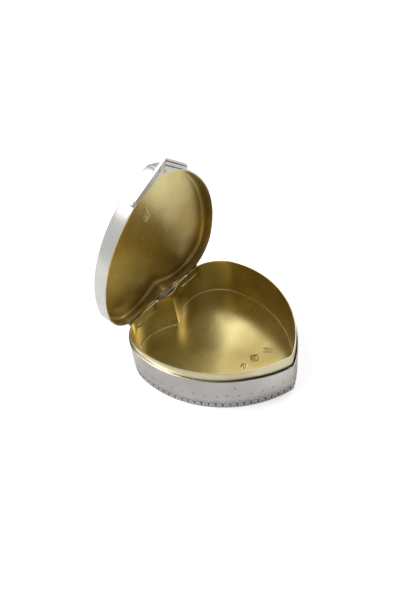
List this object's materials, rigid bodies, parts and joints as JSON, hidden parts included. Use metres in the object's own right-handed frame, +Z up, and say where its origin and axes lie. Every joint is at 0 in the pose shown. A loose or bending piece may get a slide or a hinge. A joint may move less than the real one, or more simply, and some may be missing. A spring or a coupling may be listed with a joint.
{
  "type": "heart-shaped hinged trinket box",
  "caption": "Heart-shaped silver trinket box with a gilt inside, a raised bezel, a five-knuckle hinge and a V-shaped thumb lip on its shallow domed lid.",
  "frame": {"origin": "middle of the base's footprint, on the surface the box stands on", "axes": "+Z up; the heart's point faces -Y; the hinge lies along X at the back, towards +Y; the part is drawn with its lid open"},
  "size_m": [0.06, 0.0673, 0.0814],
  "materials": {
    "silver": "polished silver with fine scratches",
    "gilt": "polished gilding, softly worn",
    "tarnished_silver": "silver darkened by tarnish"
  },
  "bodies": {
    "base": {"base_wall": "silver", "base_floor": "gilt", "bezel": "gilt", "hinge_seat_left": "gilt", "hinge_seat_right": "gilt", "base_knuckle_left": "gilt", "base_knuckle_right": "gilt"},
    "lid": {"lid_wall": "silver", "lid_plate": "silver", "lid_hinge_seat": "gilt", "lid_knuckle_left": "tarnished_silver", "lid_knuckle_middle": "tarnished_silver", "lid_knuckle_right": "tarnished_silver", "hinge_pin": "tarnished_silver", "thumb_lip": "silver", "lip_scroll_left": "silver", "lip_scroll_right": "silver"}
  },
  "joints": [
    {"name": "lid_hinge", "type": "hinge", "parent": "base", "child": "lid", "pos_m": [0, 0.0301, 0.01445], "axis": [1, 0, 0], "range_deg": [0, 81.5]}
  ]
}
